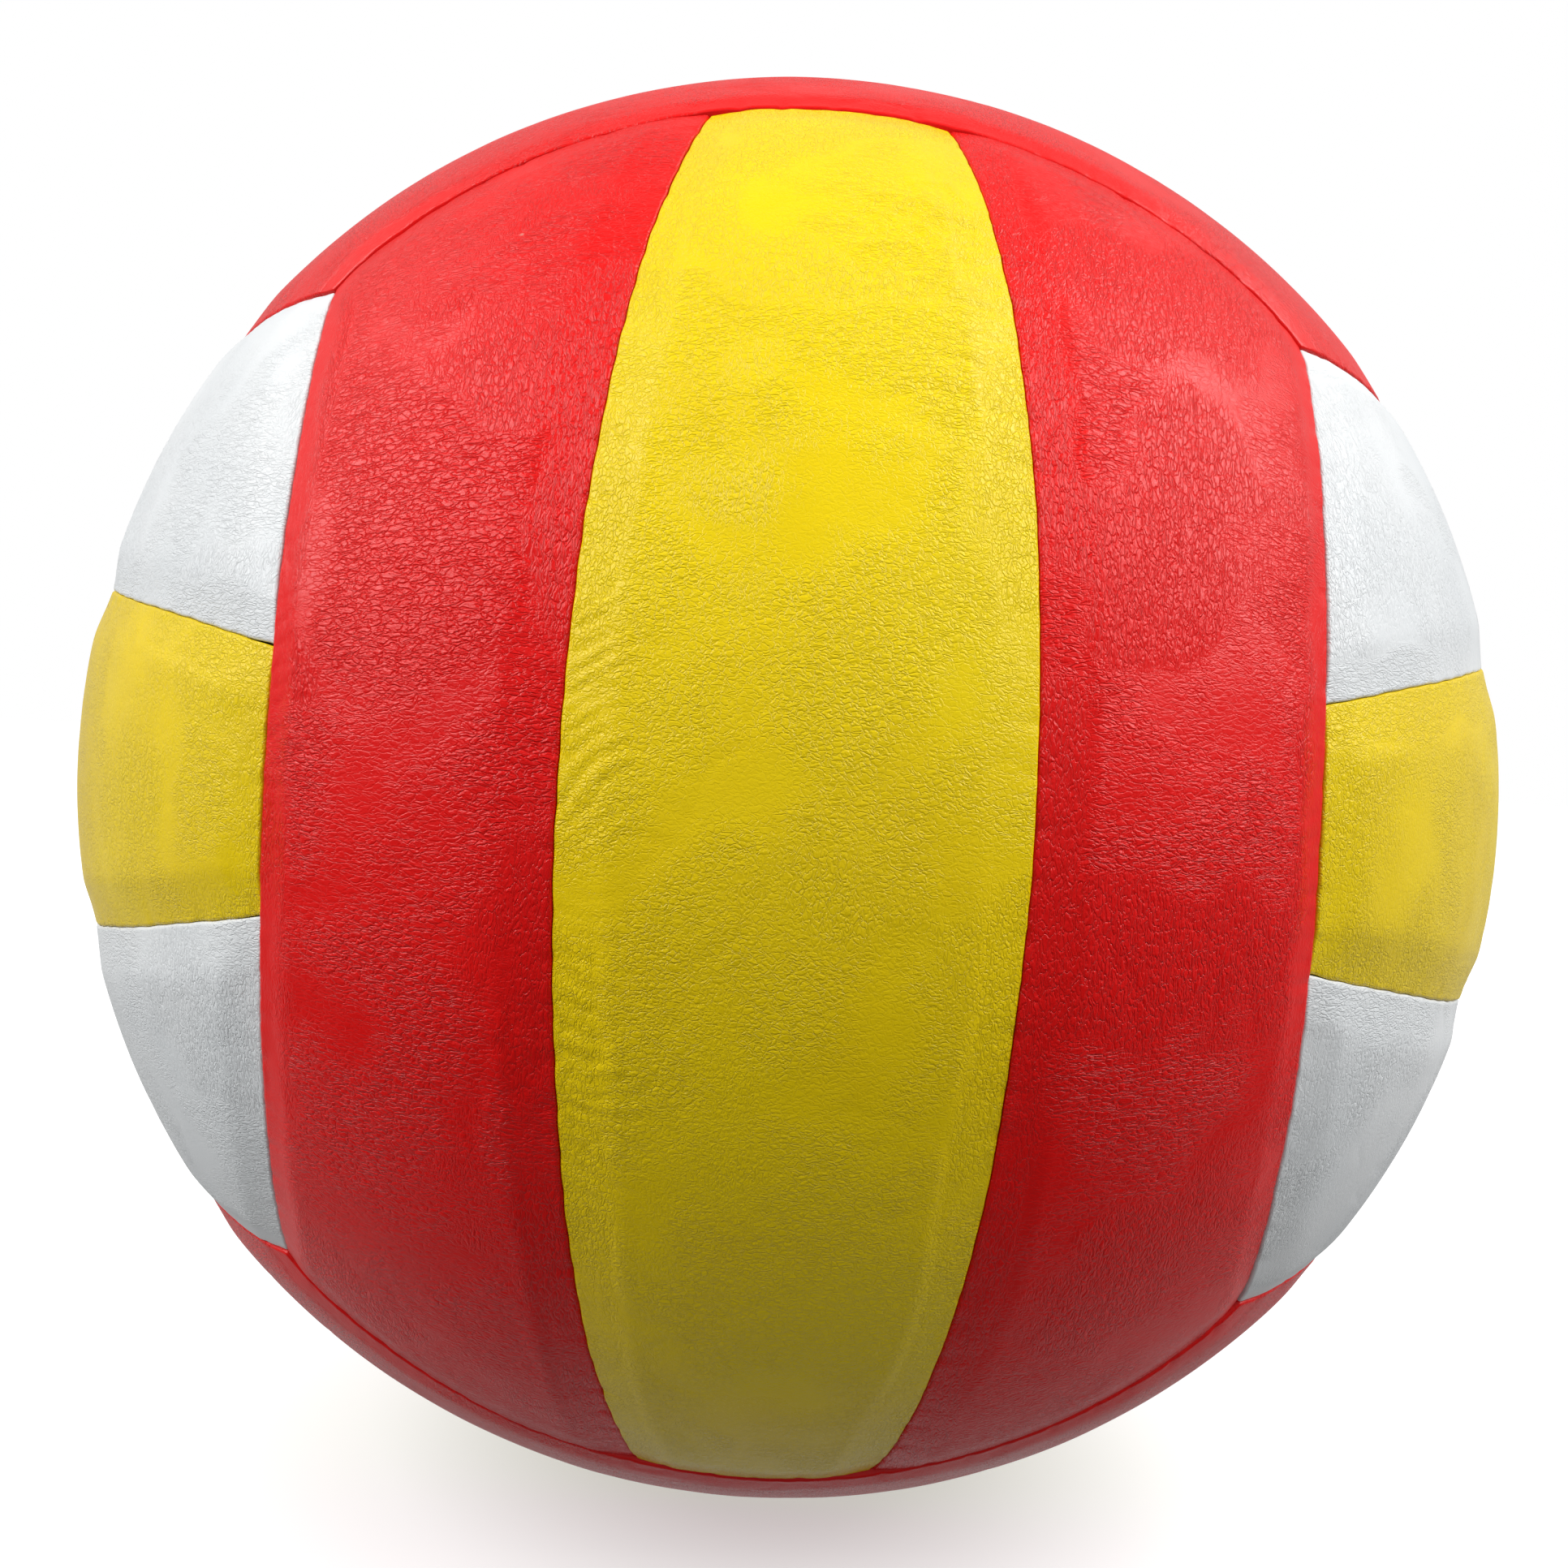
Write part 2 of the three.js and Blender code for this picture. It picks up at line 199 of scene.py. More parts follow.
# ---------------------------------------------------------------- surface shape near a seam
# Zones of heavier creases: (face, strip, edge 0 to 3, middle and half length along the seam in mm,
# strength, slant). Edge 0 is the strip's lower side across, 1 its upper side, 2 and 3 its ends.
CREASES = [
    ("front", 1, 0, 11.0, 14.0, 1.15, 0.75),
    ("front", 1, 0, -28.0, 17.0, 0.70, -0.25),
    ("front", 1, 1, 62.0, 16.0, 0.55, 0.3),
    ("front", 0, 1, 22.0, 26.0, 0.30, 0.1),
    ("front", 0, 0, 8.0, 20.0, 0.35, 0.2),
    ("front", 2, 1, -8.0, 20.0, 0.35, -0.2),
    ("rear", 1, 0, -14.0, 15.0, 0.8, 0.4),
    ("rear", 1, 1, 24.0, 14.0, 0.7, -0.3),
    ("left", 1, 1, 5.0, 14.0, 0.6, 0.3),
    ("right", 1, 0, -12.0, 14.0, 0.6, -0.3),
    ("top", 1, 0, 18.0, 16.0, 0.7, 0.35),
    ("bottom", 1, 1, -20.0, 16.0, 0.7, 0.3),
]


def edge_effect(o, s, t, seed, zones):
    """(how far the surface lies below the crown, how far it moves sideways along the seam's normal), in mm, at s mm from a seam and t mm along it."""
    end_drop, outer_w, outer_drop = CORNER_BANDS[o["face"]]
    drop0 = end_drop if o["end"] else outer_drop if o["outer"] else BAND_DROP
    z0 = np.zeros_like(t)
    wide = (outer_w if o["outer"] else BAND_W) * (1 + 0.20 * noise2(t / 31, z0, seed + 1))
    drop = drop0 * (1 + 0.35 * noise2(t / 38, z0 + 5, seed + 2))
    c = 0.32 + 0.5 * smooth(noise2(t / 24, z0 + 9, seed + 3), -0.5, 0.6)
    u = np.clip(c * np.logaddexp(0, np.clip((wide - s) / c, -30, 60)) / wide, 0, 1)
    h = drop * (1 - (1 - u) ** (1.35 + 0.35 * noise2(t / 28, z0 + 13, seed + 4)))
    if not o["end"] and not o["outer"] and o["face"] in ("front", "rear"):  # a crest where the turned-in edge stops under the skin, with a faint groove on its seam side
        crest = 0.35 + 0.65 * smooth(noise2(t / 19, z0 + 17, seed + 5), -0.35, 0.35)
        h -= 0.06 * crest * np.exp(-(((s - wide) / 0.95) ** 2))
        h += 0.05 * crest * np.exp(-(((s - wide + 1.5) / 0.55) ** 2))
    inside = np.clip(EDGE_ROLL - s, 0, EDGE_ROLL - 1e-4)
    h += EDGE_ROLL - np.sqrt(EDGE_ROLL**2 - inside**2)
    # stitches pull the edge down and in, and some of them pull a short groove into the panel
    k = np.round(t / STITCH)
    for step in (-1, 0, 1):
        kk = k + step
        off = (rand_at(kk, o["seed"] + 17) - 0.5) * 1.2
        d = t - kk * STITCH - off
        strong = rand_at(kk, seed + 23)
        h += (0.05 + 0.13 * strong) * np.exp(-((d / 0.9) ** 2)) * np.exp(-s / 1.1)
        reach = 1.2 + 4.2 * rand_at(kk, seed + 29) ** 2
        bend = (rand_at(kk, seed + 31) - 0.5) * 0.5
        deep = 0.085 * strong**2 * (0.35 + 0.65 * smooth(noise2(kk / 5.0, kk * 0 + 2, seed + 7), -0.2, 0.5))
        h += deep * np.exp(-(((d - bend * s) / 0.42) ** 2)) * smooth(s, 0.0, 0.5) * np.exp(-((s / reach) ** 3))
    # a fine, uneven gather between the stitches
    h += 0.028 * noise2(t / 1.5, s / 5.0, seed + 41) * np.exp(-((s / 3.2) ** 2))
    for middle, half, strength, slant in zones:
        zone = np.exp(-(((t - middle) / half) ** 4))
        warp = 1.3 * noise2(t / 9, s / 9, seed + 51) + 0.35 * noise2(t / 3, s / 3, seed + 52)
        phase = (t - slant * 6.5 * np.sin(np.clip(s / 7.5, 0, 1.4) * 1.5)) / 2.5 + warp * 0.55
        n = np.floor(phase)
        f = phase - n
        fold = 1 - np.abs(2 * f - 1) ** 2.4  # rounded ridges with narrow creases between them
        reach = 4.0 + 4.5 * rand_at(n, seed + 53)
        one = 0.25 + 0.75 * rand_at(n, seed + 57)
        h -= strength * 0.36 * one * (fold - 0.7) * zone * np.exp(-((s / reach) ** 3)) * smooth(s, 0.1, 1.6)
    side = (0.035 * np.sin(2 * np.pi * t / STITCH + 1.3) + 0.16 * noise2(t / 16, z0, o["seed"] + 61) + 0.05 * noise2(t / 4.5, z0, o["seed"] + 62)) * np.exp(-np.maximum(s, 0) / 2.5)
    return h, side


def loose_grain(p, seed, size):
    """Worn, bubble-like creases: 0 on the bubbles and down to -1 in the creases between them."""
    q = p / size
    q = q + 0.35 * np.stack([noise3(p / size * 0.8 + o, seed + 3) for o in (0, 31, 57)], 1)
    cell = np.floor(q).astype(np.int64)
    best = np.full(len(p), 9.0)
    second = np.full(len(p), 9.0)
    for dx in (-1, 0, 1):
        for dy in (-1, 0, 1):
            for dz in (-1, 0, 1):
                c = cell + (dx, dy, dz)
                h1 = _hash(c[:, 0], c[:, 1], c[:, 2], seed) / 4294967295.0
                h2 = _hash(c[:, 0], c[:, 1], c[:, 2], seed + 77) / 4294967295.0
                h3 = _hash(c[:, 0], c[:, 1], c[:, 2], seed + 177) / 4294967295.0
                d = np.linalg.norm(c + np.stack([h1, h2, h3], 1) - q, axis=1)
                closer = d < best
                second = np.where(closer, best, np.minimum(second, d))
                best = np.where(closer, d, best)
    return -np.exp(-(((second - best) / 0.17) ** 2))


# Patches of loose grain: a direction from the middle of the ball, radius, strength, cell size (mm)
LOOSE = [
    ((0.125, -0.785, 0.605), 16, -1.0, 3.7),
    ((0.165, -0.885, 0.43), 11, 0.7, 2.6),
    ((0.33, -0.86, 0.40), 14, 0.45, 3.0),
    ((-0.22, -0.93, -0.28), 16, 0.5, 2.6),
    ((-0.55, -0.80, 0.05), 14, 0.3, 2.6),
    ((-0.93, -0.2, -0.32), 16, 0.7, 3.0),
    ((-0.85, -0.45, 0.26), 11, 0.5, 2.6),
    ((0.93, -0.33, -0.2), 14, 0.5, 3.0),
    ((0.3, 0.9, 0.3), 18, 0.8, 3.2),
    ((-0.4, 0.7, -0.55), 18, 0.7, 3.2),
    ((0.1, 0.3, 0.95), 18, 0.7, 3.2),
    ((0.95, 0.25, 0.2), 16, 0.7, 3.0),
    ((-0.2, 0.2, -0.95), 16, 0.7, 3.0),
]


def spaced(width, cell, fine=(0, 0.12, 0.26, 0.42, 0.62, 0.88, 1.2, 1.6, 2.1)):
    """Stations from 0 to 1 over a width in mm: fine near both ends, then about one cell apart."""
    left = [f for f in fine if f < width / 2]
    n = max(1, round((width - 2 * left[-1]) / cell))
    n += (6 - (2 * (len(left) - 1) + n) % 6) % 6  # a whole number of the lining's cells
    middle = np.linspace(left[-1], width - left[-1], n + 1)
    return np.concatenate([left[:-1], middle, [width - f for f in left[:-1]][::-1]]) / width


def build_panel(face, strip, name, cell=0.5):
    F, A, L, _, _ = FACES[face]
    lo, hi = STRIPS[strip]
    seed = 1000 + 97 * (list(FACES).index(face) * 3 + strip)
    edges = panel_edges(face, strip)
    zones = [[(m, hl, st, sl) for f, k, e, m, hl, st, sl in CREASES if (f, k, e) == (face, strip, i)] for i in range(4)]
    us = spaced(BALL_R * (hi - lo), cell)
    vs = spaced(BALL_R * math.radians(104), cell) * 2 - 1
    U, V = len(us) - 1, len(vs) - 1
    a = lo + (hi - lo) * us
    g = lean(a)

    def unit(margin_mm, i, j):
        """Unit points at grid places i, j, drawn in from the seams by a margin."""
        m = margin_mm / BALL_R
        shift = np.where(i == 0, m, np.where(i == U, -m, 0.0))
        end = end_of(a, g, np.where(np.arange(U + 1) == 0, m, np.where(np.arange(U + 1) == U, -m, 0.0)), m)
        length = np.sin(np.arcsin(end[i]) * vs[j])
        c = on_seam(a[i], g[i], shift, length)
        return c[:, 0:1] * A + c[:, 1:2] * F + c[:, 2:3] * L

    def relief(p):
        """(drop below the crown, sideways move) at unit points p."""
        drops, move = [], np.zeros_like(p)
        corner = np.minimum(np.maximum(from_seam(edges[2], p), 0), np.maximum(from_seam(edges[3], p), 0))
        for k, o in enumerate(edges):
            n = o["n"]
            s = from_seam(o, p)
            t = BALL_R * np.arcsin(np.clip(p @ o["e"], -1, 1))
            h, side = edge_effect(o, np.maximum(s, 0), t, seed + 7 * k, zones[k])
            drops.append(h)
            if not o["end"]:
                part = o["side"] * 0.14 * rand_at(np.array([int(o["seed"] + (strip > 0) * 3)]), 91)[0] * np.exp(-((corner / 3.2) ** 2)) * np.exp(-np.maximum(s, 0) / 1.2)
                side = side + part
            move += side[:, None] * n
        drops = np.array(drops)
        return np.sign(drops.sum(0)) * np.sqrt((drops**2).sum(0)), move

    ii, jj = np.meshgrid(np.arange(U + 1), np.arange(V + 1), indexing="ij")
    ii, jj = ii.ravel(), jj.ravel()
    p = unit(EDGE_GAP, ii, jj)
    drop, move = relief(p)
    q = p * BALL_R
    along = int(np.argmax(np.abs(L)))
    wave = 0.085 * noise3(q / 27, 5) + 0.05 * noise3(q / 13, 6) + 0.016 * noise3(q / 5.5, 7)
    flow = q / np.where(np.abs(np.arange(3) - along) < 0.5, 17.0, 9.0) + 0.25 * np.stack([noise3(q / 6 + o, 61) for o in (0, 40, 80)], 1)
    line = noise3(flow, 62)
    wave -= 0.05 * np.exp(-((line / 0.10) ** 2)) * smooth(noise3(q / 21, 63), 0.0, 0.4)
    line = noise3(flow * 1.6 + 9.0, 64)
    wave -= 0.035 * np.exp(-((line / 0.13) ** 2)) * smooth(noise3(q / 17, 65), 0.05, 0.4)
    for d, radius, strength, size in LOOSE:
        d = np.array(d) / np.linalg.norm(d)
        far = np.linalg.norm(q - d * BALL_R, axis=1) + 4 * noise3(q / 9, 8)
        near = far < radius + 3
        if near.any():
            k = smooth(-far[near], -radius, -0.45 * radius)
            stretched = np.where(np.abs(np.arange(3) - along) < 0.5, 2.1, 1.0) * size
            wave[near] += strength * 0.19 * k * loose_grain(q[near], 400 + int(size * 10), stretched)
    outer = q + move + p * (wave - drop)[:, None]

    ring = [(i, 0) for i in range(U)] + [(U, j) for j in range(V)]
    ring += [(i, V) for i in range(U, 0, -1)] + [(0, j) for j in range(V, 0, -1)]
    ring = np.array(ring)
    at = np.full((U + 1, V + 1), -1)
    at[ring[:, 0], ring[:, 1]] = np.arange(len(ring))
    n_ring = len(ring)
    layers = []
    for margin, r in ((EDGE_GAP * 0.9, 103.1), (EDGE_GAP, 102.2), (EDGE_GAP * 1.3, FLANGE_R + 0.25), (EDGE_GAP + 0.35, FLANGE_R), (1.45, FLANGE_R), (2.3, LINING_R)):
        w = unit(margin, ring[:, 0], ring[:, 1])
        layers.append(w * r + relief(unit(EDGE_GAP, ring[:, 0], ring[:, 1]))[1] * (r / BALL_R))
    K = 6
    ci, cj = np.meshgrid(np.arange(K, U, K), np.arange(K, V, K), indexing="ij")
    ci, cj = ci.ravel(), cj.ravel()
    lining = unit(2.3, ci, cj) * LINING_R
    points = np.concatenate([outer, *layers, lining])
    n_outer = len(outer)

    def grid(i, j):
        return i * (V + 1) + j

    faces = []
    gi, gj = np.meshgrid(np.arange(U), np.arange(V), indexing="ij")
    gi, gj = gi.ravel(), gj.ravel()
    quads = np.stack([grid(gi, gj), grid(gi + 1, gj), grid(gi + 1, gj + 1), grid(gi, gj + 1)], 1)
    hole = None
    if (face, strip) == ("rear", 1):
        # The valve hole: the middle of the grid opens into a circle, and the surface round it is drawn in.
        x, z = q[:, 0], q[:, 2]
        inner, outer_r = 1.3, 6.5
        far = np.maximum(np.abs(x), np.abs(z))
        t = np.clip((far - inner) / (outer_r - inner), 0, 1)
        on = (far < outer_r) & (q[:, 1] > 0)
        length = np.maximum(np.hypot(x, z), 1e-6)
        ring_r = VALVE_HOLE_R + t * (outer_r - VALVE_HOLE_R)
        k = t**2
        nx = np.where(on, x / length * ring_r * (1 - k) + x * k, outer[:, 0])
        nz = np.where(on, z / length * ring_r * (1 - k) + z * k, outer[:, 2])
        rim = np.where(on, np.hypot(nx, nz) - VALVE_HOLE_R, 9)
        dip = 0.35 * np.exp(-((np.maximum(rim, 0) / 1.6) ** 2)) + np.where(rim < 0.5, 0.5 - np.sqrt(np.maximum(0.25 - (0.5 - np.clip(rim, 0, 0.5)) ** 2, 0)), 0)
        ny = np.sqrt(np.maximum((np.linalg.norm(outer, axis=1) - dip) ** 2 - nx**2 - nz**2, 0))
        points[:n_outer] = np.where(on[:, None], np.stack([nx, ny, nz], 1), outer)
        gone = (far[quads] < inner - 1e-6).any(1) & (q[quads[:, 0], 1] > 0)
        kept = quads[~gone]
        hole = (quads[gone], kept)
        quads = kept
    faces.extend(quads.tolist())
    base = [np.array([grid(i, j) for i, j in ring])] + [n_outer + k * n_ring + np.arange(n_ring) for k in range(len(layers))]
    for k in range(len(base) - 1):
        b, c = base[k], base[k + 1]
        b2, c2 = np.roll(b, -1), np.roll(c, -1)
        faces.extend(np.stack([b, c, c2, b2], 1).tolist())
    last = n_outer + (len(layers) - 1) * n_ring
    first = last + n_ring
    width = len(range(K, V, K))

    def lining_at(i, j):
        if i in (0, U) or j in (0, V):
            return last + at[i, j]
        return first + (i // K - 1) * width + (j // K - 1)

    lining_faces = []
    for i in range(0, U, K):
        for j in range(0, V, K):
            loop = [(i, j)]
            loop += [(i + d, j) for d in range(1, K)] if j == 0 else []
            loop += [(i + K, j)]
            loop += [(i + K, j + d) for d in range(1, K)] if i + K == U else []
            loop += [(i + K, j + K)]
            loop += [(i + d, j + K) for d in range(K - 1, 0, -1)] if j + K == V else []
            loop += [(i, j + K)]
            loop += [(i, j + d) for d in range(K - 1, 0, -1)] if i == 0 else []
            lining_faces.append([lining_at(*w) for w in loop][::-1])
    if hole is not None:
        # the wall of the valve hole, down to the lining, whose own hole is where its nearest cells open
        gone, kept = hole
        edge = {}
        for f in gone:
            for u, w in zip(f, np.roll(f, -1)):
                edge[(int(u), int(w))] = True
        rim = {u: w for (u, w) in edge if (w, u) not in edge}
        start = next(iter(rim))
        loop = [start]
        while rim[loop[-1]] != start:
            loop.append(rim[loop[-1]])
        top = points[loop]
        walls = []
        for r, low in ((VALVE_HOLE_R - 0.02, 103.2), (VALVE_HOLE_R, LINING_R)):
            ang = np.arctan2(top[:, 2], top[:, 0])
            walls.append(np.stack([r * np.cos(ang), np.full(len(ang), math.sqrt(low**2 - r * r)), r * np.sin(ang)], 1))
        at0 = len(points)
        points = np.concatenate([points, *walls])
        rows = [np.array(loop), at0 + np.arange(len(loop)), at0 + len(loop) + np.arange(len(loop))]
        for b, c in zip(rows, rows[1:]):
            # the rim runs the way its faces would have, so the wall below it is wound against it
            faces.extend(np.stack([b, np.roll(b, -1), np.roll(c, -1), c], 1).tolist())
        # the lining's cells over the hole become one face with a hole, as a fan of quads between loops
        mid = [f for f in lining_faces if np.hypot(points[f][:, 0], points[f][:, 2]).min() < 4.0 and len(f) == 4]
        lining_faces = [f for f in lining_faces if f not in mid]
        e = {}
        for f in mid:
            for u, w in zip(f, f[1:] + f[:1]):
                e[(u, w)] = True
        rim = {u: w for (u, w) in e if (w, u) not in e}
        start = next(iter(rim))
        big = [start]
        while rim[big[-1]] != start:
            big.append(rim[big[-1]])
        small = rows[-1].tolist()
        pb, ps = points[big], points[small]
        ab, as_ = np.arctan2(pb[:, 2], pb[:, 0]), np.arctan2(ps[:, 2], ps[:, 0])
        sign = 1 if np.sum(np.sign(np.sin(np.roll(ab, -1) - ab))) > 0 else -1
        if (1 if np.sum(np.sign(np.sin(np.roll(as_, -1) - as_))) > 0 else -1) != sign:
            small = small[::-1]
            as_ = as_[::-1]
        nearest = [int(np.argmin(np.abs(np.angle(np.exp(1j * (as_ - x)))))) for x in ab]
        m = len(small)
        for k in range(len(big)):
            b0, b1 = big[k], big[(k + 1) % len(big)]
            s0, s1 = nearest[k], nearest[(k + 1) % len(big)]
            span = [small[(s0 + d) % m] for d in range(((s1 - s0) % m) + 1)]
            lining_faces.append([b0, b1, *span[::-1]])
    faces.extend(lining_faces)

    flip = np.dot(np.cross(A, L), F) > 0
    # A x L along F means that the grid's own winding faces out
    if not flip:
        faces = [f[::-1] for f in faces]
    mesh = bpy.data.meshes.new(name + "_skin")
    mesh.from_pydata((points * 0.001).tolist(), [], faces)
    mesh.update()
    mesh.polygons.foreach_set("use_smooth", np.ones(len(mesh.polygons), bool))
    # Grain coordinates: mm across and along the strip, with how strong the grain is and which way its creases run
    pu = points / np.linalg.norm(points, axis=1)[:, None]
    across = BALL_R * np.arcsin(np.clip(pu @ A, -1, 1))
    along = BALL_R * np.arctan2(pu @ L, pu @ F)
    co = np.stack([across + 40 * strip, along + 300 * list(FACES).index(face), np.zeros(len(pu))], 1)
    near = np.full(len(pu), 99.0)
    long_near = np.full(len(pu), 99.0)
    for k, o in enumerate(edges):
        s = from_seam(o, pu)
        near = np.minimum(near, s)
        if not o["end"]:
            long_near = np.minimum(long_near, s)
    qq = pu * BALL_R
    amp = 0.22 + 0.78 * smooth(noise3(qq / 21, 21) + 0.5 * noise3(qq / 7, 22), -0.62, 0.2)
    turn = smooth(6.0 - long_near + 2.2 * noise3(qq / 10, 23), 0.0, 1.5) * smooth(noise3(qq / 30, 24 + seed), -0.25, 0.05)
    turn = np.maximum(turn, smooth(noise3(qq / 26, 25 + seed) + 0.3 * noise3(qq / 7, 26), 0.05, 0.35))
    amp = np.maximum(amp, 0.85 * turn)
    if strip != 1:  # the strip beside an edge between faces is stretched smooth
        o = edges[0] if strip == 0 else edges[1]
        edge_s = from_seam(o, pu) + 1.2 * noise3(qq / 7, 27)
        amp *= 1 - 0.85 * (1 - smooth(edge_s, 2.4, 4.6)) * smooth(noise3(qq / 33, 28), -0.6, -0.1)
    grain = mesh.attributes.new("grain", "FLOAT_VECTOR", "POINT")
    grain.data.foreach_set("vector", co.astype(np.float32).ravel())
    for label, value in (("grain_amp", amp), ("grain_turn", turn), ("seam_near", np.clip(near, 0, 20))):
        at_ = mesh.attributes.new(label, "FLOAT", "POINT")
        at_.data.foreach_set("value", value.astype(np.float32))
    ob = bpy.data.objects.new(name, mesh)
    bpy.context.scene.collection.objects.link(ob)
    return ob


# ---------------------------------------------------------------- materials
def nodes_of(name):
    m = bpy.data.materials.new(name)
    m.use_nodes = True
    nt = m.node_tree
    bsdf = next(n for n in nt.nodes if n.type == "BSDF_PRINCIPLED")
    return m, nt, bsdf


def add(nt, kind, values=None, **props):
    n = nt.nodes.new(kind)
    for k, v in props.items():
        setattr(n, k, v)
    for k, v in (values or {}).items():
        n.inputs[k].default_value = v
    return n


def math_node(nt, op, a, b=None, clamp=False):
    n = nt.nodes.new("ShaderNodeMath")
    n.operation = op
    n.use_clamp = clamp
    for k, v in enumerate((a, b)):
        if v is None:
            continue
        if isinstance(v, (int, float)):
            n.inputs[k].default_value = v
        else:
            nt.links.new(v, n.inputs[k])
    return n.outputs[0]


def mix_colour(nt, fac, a, b, blend="MIX"):
    n = nt.nodes.new("ShaderNodeMix")
    n.data_type = "RGBA"
    n.blend_type = blend
    for sock, v in ((n.inputs[0], fac), (n.inputs[6], a), (n.inputs[7], b)):
        if isinstance(v, (int, float, tuple)):
            sock.default_value = v
        else:
            nt.links.new(v, sock)
    return n.outputs[2]


def ramp(nt, fac, stops):
    n = nt.nodes.new("ShaderNodeValToRGB")
    els = n.color_ramp.elements
    while len(els) < len(stops):
        els.new(0.5)
    for e, (pos, v) in zip(els, stops):
        e.position = pos
        e.color = (v, v, v, 1) if isinstance(v, (int, float)) else (*v, 1)
    nt.links.new(fac, n.inputs[0])
    return n.outputs[0]


